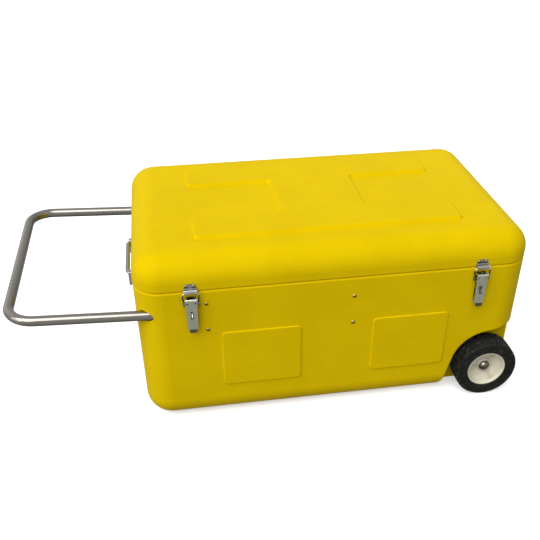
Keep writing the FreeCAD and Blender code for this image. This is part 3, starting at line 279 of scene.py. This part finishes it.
LOOKS = {
    "yellow_plastic": yellow_plastic(),
    "stainless_tube": brushed_steel(
        "stainless_tube", (0.290, 0.272, 0.240), (0.370, 0.350, 0.315), 0.13, 0.20,
        LINES_ALONG_TUBE, 0.03, [
            # Painted shade on the tube's underside
            (lambda s: s.facing(DOWN, 0.05, 0.50), 0.28),
            # Painted dark reflection on the side that faces the box
            (lambda s: s.facing(TUBE_INNER_SIDE, 0.45, 0.85), 0.65),
            # Painted highlight along the upper side
            (lambda s: s.facing(TUBE_UPPER_SIDE, 0.85, 0.99), 1.75),
        ]),
    "stainless": brushed_steel(
        "stainless", (0.40, 0.40, 0.39), (0.54, 0.54, 0.525), 0.20, 0.34, LINES_ACROSS, 0.08),
    "latch_steel": brushed_steel(
        "latch_steel", (0.44, 0.45, 0.39), (0.58, 0.59, 0.52), 0.14, 0.26, LINES_UPRIGHT, 0.06),
    # The golden cast of this plated steel is a painted reflection of the yellow body
    "bright_steel": bright_metal(
        "bright_steel", (0.44, 0.33, 0.14), 0.12, [
            # Painted shade towards the lower sides and underside
            (lambda s: s.facing(DOWN, -0.45, 0.20), 0.18),
        ]),
    "chrome_cap": bright_metal(
        "chrome_cap", (0.30, 0.27, 0.235), 0.05, [
            # Painted shade on the cap's sides and underside, leaving its top bright
            (lambda s: s.facing(CAP_LOWER_SIDE, -0.55, -0.05), 0.28),
        ]),
    "tyre_rubber": tyre_rubber(),
    "rim_plastic": rim_plastic(),
    "black_plastic": moulded_plastic(
        "black_plastic", (0.012, 0.012, 0.012), (0.028, 0.028, 0.028), 0.40, 0.55),
    "guide_plastic": moulded_plastic(
        "guide_plastic", (0.52, 0.51, 0.48), (0.66, 0.65, 0.62), 0.45, 0.60),
    "seal_rubber": moulded_plastic(
        "seal_rubber", (0.010, 0.010, 0.010), (0.022, 0.022, 0.022), 0.60, 0.78),
    "bush_nylon": moulded_plastic(
        "bush_nylon", (0.55, 0.53, 0.46), (0.70, 0.68, 0.62), 0.38, 0.52),
}

# Every kind of latch piece but the bases has a look of its own within the latch's steel; on the bails,
# keepers and levers, painted shade and painted highlights are placed by height or depth
LEVER_FOOT = 0.3035
LEVER_ROLL = 0.3835
LEVER_EDGE = 0.001
WIRE_TOP = 0.398
WIRE_BEND = 0.004
HOOK_FACE = -0.3185
HOOK_DEPTH = 0.002

wire = brushed_steel(
    "latch_wire", (0.62, 0.60, 0.56), (0.80, 0.78, 0.74), 0.12, 0.22, LINES_UPRIGHT, 0.05, [
        # Painted shade on the wire below its top, leaving the top bar bright
        (lambda s: s.along("Z", WIRE_TOP, WIRE_TOP - WIRE_BEND), 0.18),
    ])
keeper = brushed_steel(
    "latch_keeper", (0.78, 0.79, 0.80), (0.93, 0.94, 0.95), 0.10, 0.20, LINES_UPRIGHT, 0.05, [
        # Painted shade on the keeper behind its hook's outer face, which stays bright as a painted
        # highlight
        (lambda s: s.along("Y", HOOK_FACE, HOOK_FACE + HOOK_DEPTH), 0.46),
    ])
# The lever's yellow-green cast is a painted reflection of the yellow body
lever = brushed_steel(
    "latch_lever", (0.45, 0.47, 0.36), (0.60, 0.62, 0.49), 0.14, 0.26, LINES_UPRIGHT, 0.06, [
        # Painted shade on the tip below the lever's foot
        (lambda s: s.along("Z", LEVER_FOOT, LEVER_FOOT - LEVER_EDGE), 0.20),
        # Painted highlight on the roll at the lever's top
        (lambda s: s.along("Z", LEVER_ROLL - LEVER_EDGE, LEVER_ROLL), 1.9),
    ])
stub = brushed_steel(
    "latch_stub", (0.20, 0.18, 0.15), (0.28, 0.26, 0.22), 0.20, 0.30, LINES_UPRIGHT, 0.05)
NODE_LOOKS = {
    "latch_bail_left": wire,
    "latch_bail_right": wire,
    "latch_keepers": keeper,
    "latch_lever_left": lever,
    "latch_lever_right": lever,
    "link_pins_left": stub,
    "link_pins_right": stub,
    "latch_pins": stub,
}

for part in frame["record"]["subparts"]:
    mesh = nodes[part["node"]].data
    mesh.materials.clear()
    mesh.materials.append(NODE_LOOKS.get(part["node"], LOOKS[part["material_slot"]]))


# Pieces

PIECE_SHARP_FROM = 32
TREAD_SHARP_FROM = 30


def add_object(name, vertices, faces, material):
    mesh = bpy.data.meshes.new(name)
    mesh.from_pydata(vertices, [], faces)
    mesh.update()
    mesh.materials.append(material)
    made = bpy.data.objects.new(name, mesh)
    bpy.context.scene.collection.objects.link(made)
    return made


def turn_faces_out(piece):
    bm = bmesh.new()
    bm.from_mesh(piece.data)
    bmesh.ops.recalc_face_normals(bm, faces=bm.faces)
    bm.to_mesh(piece.data)
    bm.free()


def smooth(piece, degrees):
    for polygon in piece.data.polygons:
        polygon.use_smooth = True
    piece.data.set_sharp_from_angle(angle=math.radians(degrees))


for node in nodes.values():
    smooth(node, PIECE_SHARP_FROM)

# Tyre tread: two rows of slanted blocks each side of a middle groove, and lugs round the shoulders
PITCHES = 28
STEPS_PER_PITCH = 16
BEAD_RADIUS = 0.0527
BEAD_HALF = 0.0258
RIM_EDGE = 0.0288
SHOULDER = 0.008
SHOULDER_STEPS = 10
CROWN = 0.0005
CROWN_STEPS = 20
TREAD_DEPTH = 0.0026
GROOVE_WALL = 0.0006
MIDDLE_GROOVE = 0.0030
ROW_GROOVE = 0.0022
BLOCK_GROOVE = 0.0030
LUG_GROOVE = 0.0042
ROW_EDGE = 0.0125
ROW_ZIGZAG = 0.0030
BLOCK_SLANT = 0.55
LUG_START = 0.05
LUG_SLANT = 0.25
LUG_END = 0.0275
LUG_FADE = 0.0015
SIDE_WALL = 0.011

# Raised and sunk rings on the tyre's side, as (how far below the shoulder, how far sunk)
SIDE_RINGS = [
    (0.0, 0.0), (0.0012, 0.0), (0.0016, 0.0006), (0.0030, 0.0006), (0.0034, 0.0),
    (0.0062, 0.0), (0.0066, -0.0005), (0.0076, -0.0005), (0.0080, 0.0),
]


def limited(value):
    return max(0.0, min(1.0, value))


def groove(distance, width):
    """1 on the floor of a groove, 0 away from it, with steep walls."""
    return limited((width / 2 + GROOVE_WALL - distance) / GROOVE_WALL)


def tread(turns, across, pitch):
    """How deep the tread is cut, 0 to 1, at a place in pitches round and metres from the middle."""
    if across < 0:
        turns += 0.5
    away = abs(across)
    zigzag = abs(2 * (turns % 1.0) - 1)
    row_edge = ROW_EDGE + ROW_ZIGZAG * (zigzag - 0.5)
    cuts = [groove(away, MIDDLE_GROOVE), groove(abs(away - row_edge), ROW_GROOVE)]
    if away < row_edge:
        place = (turns + BLOCK_SLANT * away / ROW_EDGE) % 1.0
        cuts.append(groove(abs(place - 0.5) * pitch, BLOCK_GROOVE))
    else:
        place = (turns + LUG_START + LUG_SLANT * (away - ROW_EDGE) / ROW_EDGE) % 1.0
        fade = limited((LUG_END - away) / LUG_FADE)
        cuts.append(groove(abs(place - 0.5) * pitch, LUG_GROOVE) * fade)
    return max(cuts)


def tyre_profile(outer, half):
    """Half of the tyre's section: (radius, offset, normal out, normal side, way across, cut or not)."""
    flat = half - SHOULDER
    points = []
    for i in range(CROWN_STEPS):
        way = flat * i / CROWN_STEPS
        points.append((outer - CROWN * (way / flat) ** 2, way, 1.0, 0.0, way, True))
    for i in range(SHOULDER_STEPS):
        angle = math.pi / 2 * i / SHOULDER_STEPS
        points.append((
            outer - CROWN - SHOULDER * (1 - math.cos(angle)), flat + SHOULDER * math.sin(angle),
            math.cos(angle), math.sin(angle), flat + SHOULDER * angle, True,
        ))
    side_top = outer - CROWN - SHOULDER
    for drop, sunk in SIDE_RINGS:
        way = flat + SHOULDER * math.pi / 2 + drop
        points.append((side_top - drop, half - sunk, 0.0, 1.0, way, True))
    wall_end = BEAD_RADIUS + SIDE_WALL
    bead = [
        (wall_end, half),
        (wall_end - 0.003, half - 0.0008),
        (BEAD_RADIUS + 0.0046, RIM_EDGE + 0.0008),
        (BEAD_RADIUS + 0.0030, RIM_EDGE),
        (BEAD_RADIUS, BEAD_HALF),
    ]
    return points + [(radius, offset, 0.0, 1.0, 0.0, False) for radius, offset in bead]


def add_tyre(node_name, body):
    low, high = (Vector(corner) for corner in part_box(node_name))
    centre = (low + high) / 2
    outer, half = (high.z - low.z) / 2, (high.y - low.y) / 2
    pitch = 2 * math.pi * outer / PITCHES
    right_half = tyre_profile(outer, half)
    left_half = [(r, -y, nr, -ny, -way, cut) for r, y, nr, ny, way, cut in right_half[1:]]
    section = right_half[::-1] + left_half
    steps = PITCHES * STEPS_PER_PITCH
    vertices = []
    for step in range(steps):
        angle = 2 * math.pi * step / steps
        turns = step / STEPS_PER_PITCH
        for r, y, nr, ny, way, cut in section:
            depth = TREAD_DEPTH * tread(turns, way, pitch) if cut else 0.0
            radius = r - depth * nr
            vertices.append((
                centre.x + radius * math.cos(angle),
                centre.y + y - depth * ny,
                centre.z + radius * math.sin(angle),
            ))
    count = len(section)
    faces = []
    for step in range(steps):
        here, there = step * count, (step + 1) % steps * count
        for i in range(count):
            after = (i + 1) % count
            faces.append((here + i, here + after, there + after, there + i))
    slot = "tyre_rubber"
    piece = add_object(f"{node_name}_tread", vertices, faces, LOOKS[slot])
    turn_faces_out(piece)
    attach(piece, body)
    smooth(piece, TREAD_SHARP_FROM)
    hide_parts(node_name)


add_tyre("tyre_front", "wheel_front")
add_tyre("tyre_back", "wheel_back")


# Stage

FLOOR_REACH = 40.0
FLOOR_BOUNCE = 0.25
FLOOR_WHITE = 0.97
FLOOR_GLOW = 0.42
FLOOR_MIRRORED = 0.20
SKY_LIGHT = 0.31
SKY_MIRRORED = 0.45
WHITE = (1, 1, 1)


def grey(value):
    return (value, value, value)


def white_where_seen(tree, mirrored):
    """1 where a camera or transmission ray sees the stage, and a share where gloss does."""
    path = add_node(tree, "ShaderNodeLightPath", {}).outputs
    share = add_node(tree, "ShaderNodeMath", {
        0: path["Is Glossy Ray"], 1: mirrored,
    }, operation="MULTIPLY")
    seen = path["Is Camera Ray"]
    for other in (path["Is Transmission Ray"], share.outputs[0]):
        seen = add_node(tree, "ShaderNodeMath", {0: seen, 1: other}, operation="MAXIMUM").outputs[0]
    return seen


def floor_material():
    """White where it is seen, keeping the shadow, and dim grey for the light that it throws back."""
    material = bpy.data.materials.new("floor_white")
    material.use_nodes = True
    tree = material.node_tree
    matte = {"Roughness": 1.0, "Specular IOR Level": 0.0}
    bounce = tree.nodes["Principled BSDF"]
    fill(tree, bounce, {"Base Color": grey(FLOOR_BOUNCE), **matte})
    seen = add_node(tree, "ShaderNodeBsdfPrincipled", {
        "Base Color": grey(FLOOR_WHITE), "Emission Color": WHITE, "Emission Strength": FLOOR_GLOW,
        **matte,
    })
    choose = add_node(tree, "ShaderNodeMixShader", {
        0: white_where_seen(tree, FLOOR_MIRRORED), 1: bounce.outputs[0], 2: seen.outputs[0],
    })
    fill(tree, tree.nodes["Material Output"], {"Surface": choose.outputs[0]})
    return material


corners = [(x * FLOOR_REACH, y * FLOOR_REACH, 0) for x, y in ((-1, -1), (1, -1), (1, 1), (-1, 1))]
item = add_object("studio_floor", corners, [(0, 1, 2, 3)], floor_material())

world = bpy.data.worlds.new("studio_world")
bpy.context.scene.world = world
world.use_nodes = True
sky = world.node_tree
dim = sky.nodes["Background"]
fill(sky, dim, {"Color": WHITE, "Strength": SKY_LIGHT})
bright = add_node(sky, "ShaderNodeBackground", {"Color": WHITE, "Strength": 1.0})
choose = add_node(sky, "ShaderNodeMixShader", {
    0: white_where_seen(sky, SKY_MIRRORED), 1: dim.outputs[0], 2: bright.outputs[0],
})
fill(sky, sky.nodes["World Output"], {"Surface": choose.outputs[0]})


def add_light(name, kind, at, towards, **settings):
    light = bpy.data.lights.new(name, kind)
    for key, value in settings.items():
        setattr(light, key, value)
    lamp = bpy.data.objects.new(name, light)
    bpy.context.scene.collection.objects.link(lamp)
    lamp.location = at
    lamp.rotation_mode = "QUATERNION"
    lamp.rotation_quaternion = (Vector(towards) - Vector(at)).to_track_quat("-Z", "Y")
    return lamp


add_light("key_light", "SUN", (-1.50, -1.75, 3.10), (0, 0, 0), energy=2.45, angle=math.radians(58))
add_light("side_light", "AREA", (-2.6, -1.0, 1.2), (-0.5, 0, 0.3), energy=9, size=1.5)
back_light = add_light("back_light", "AREA", (1.7, 2.5, 2.0), (0, 0, 0.3), energy=20, size=2.0)
back_light.visible_glossy = False

# Camera at the photograph's place, with part of the picture's own off-centre framing
CAMERA_PLACE = (-0.3867, -1.8173, 1.3558)
CAMERA_AZIMUTH = math.radians(-9.664)
CAMERA_ELEVATION = math.radians(34.896)
CAMERA_ROLL = math.radians(0.233)

camera_data = bpy.data.cameras.new("camera")
camera = bpy.data.objects.new("camera", camera_data)
bpy.context.scene.collection.objects.link(camera)
back = Vector((
    math.sin(CAMERA_AZIMUTH) * math.cos(CAMERA_ELEVATION),
    -math.cos(CAMERA_AZIMUTH) * math.cos(CAMERA_ELEVATION),
    math.sin(CAMERA_ELEVATION),
))
right = (-back).cross(Vector((0, 0, 1))).normalized()
up = right.cross(-back)
rolled_right = right * math.cos(CAMERA_ROLL) + up * math.sin(CAMERA_ROLL)
rolled_up = up * math.cos(CAMERA_ROLL) - right * math.sin(CAMERA_ROLL)
turn = Matrix((rolled_right, rolled_up, back)).transposed()
camera.matrix_world = Matrix.Translation(CAMERA_PLACE) @ turn.to_4x4()
camera_data.sensor_width = 36
camera_data.lens = 49.773
camera_data.shift_x = -0.0324
camera_data.shift_y = 0.0965
camera_data.clip_start = 0.05
camera_data.clip_end = 100
bpy.context.scene.camera = camera
bpy.context.scene.view_settings.view_transform = "Standard"
